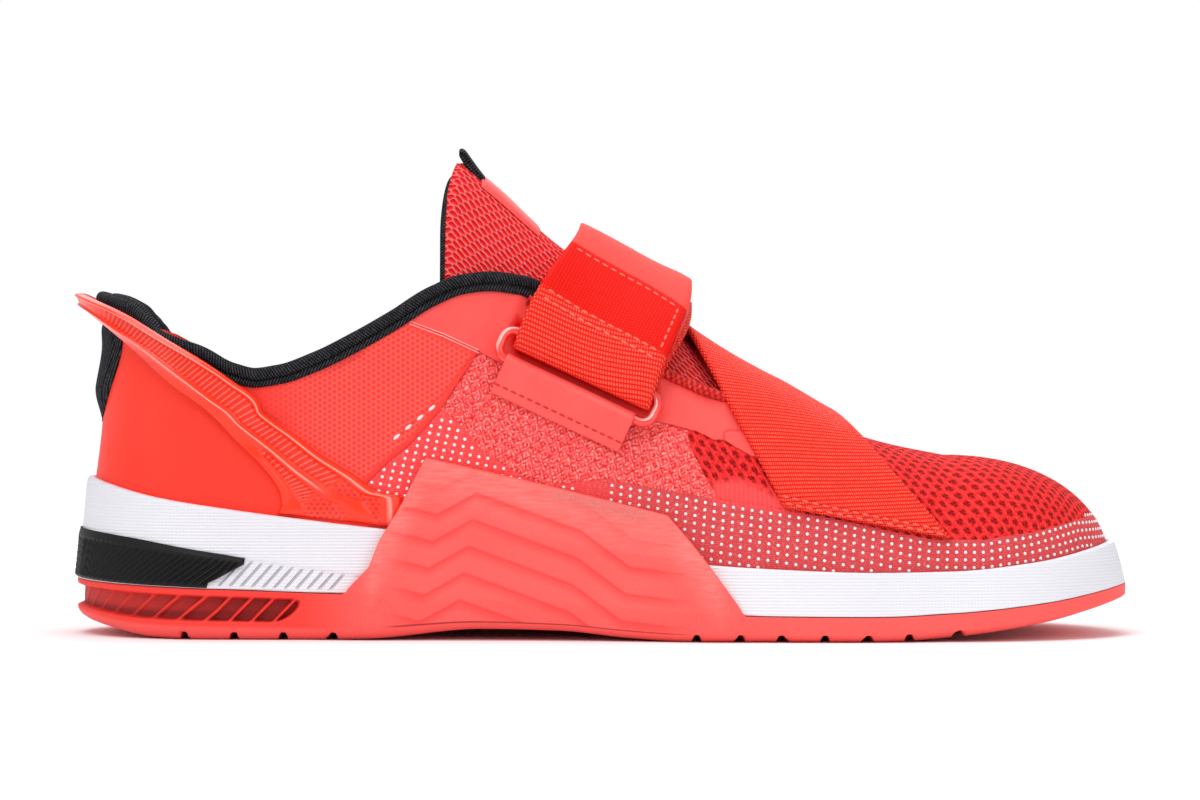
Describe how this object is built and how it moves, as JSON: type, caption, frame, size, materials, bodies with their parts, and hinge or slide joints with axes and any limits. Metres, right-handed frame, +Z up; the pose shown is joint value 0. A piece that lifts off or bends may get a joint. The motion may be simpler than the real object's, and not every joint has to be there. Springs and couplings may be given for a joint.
{
  "type": "training shoe",
  "caption": "Low training shoe for the left foot: cupped foam midsole, rubber outsole with wrapped side guards, hollow upper, padded tongue and two webbing straps.",
  "frame": {"origin": "middle of the shoe's box on the floor, under the arch", "axes": "+X to the toe, +Z up, -Y to the inner side of the foot, +Y to the outer side"},
  "size_m": [0.3019, 0.1137, 0.1414],
  "materials": {
    "outsole": "matte pink-red rubber with fine grain",
    "midsole": "white moulded foam",
    "heel_clip": "black ribbed plastic",
    "upper": "red knit and mesh with smooth film panels",
    "insole": "dark cloth over foam",
    "tongue": "red spacer mesh",
    "tongue_label": "smooth red patch, bare",
    "tongue_pull": "black webbing",
    "collar_binding": "black knit over padding",
    "heel_panel": "black knit over padding",
    "heel_brace": "glossy orange-red moulded plastic",
    "forefoot_strap": "red woven webbing",
    "instep_strap": "red woven webbing",
    "ring": "red coated wire",
    "ring_keeper": "smooth red synthetic leather"
  },
  "bodies": {
    "root": {"outsole": "outsole", "midsole": "midsole", "heel_clip": "heel_clip", "upper": "upper", "insole": "insole", "tongue": "tongue", "tongue_label": "tongue_label", "tongue_pull": "tongue_pull", "collar_binding": "collar_binding", "heel_panel": "heel_panel", "heel_brace": "heel_brace", "forefoot_strap": "forefoot_strap", "instep_strap": "instep_strap", "ring": "ring", "ring_keeper": "ring_keeper"}
  },
  "joints": []
}
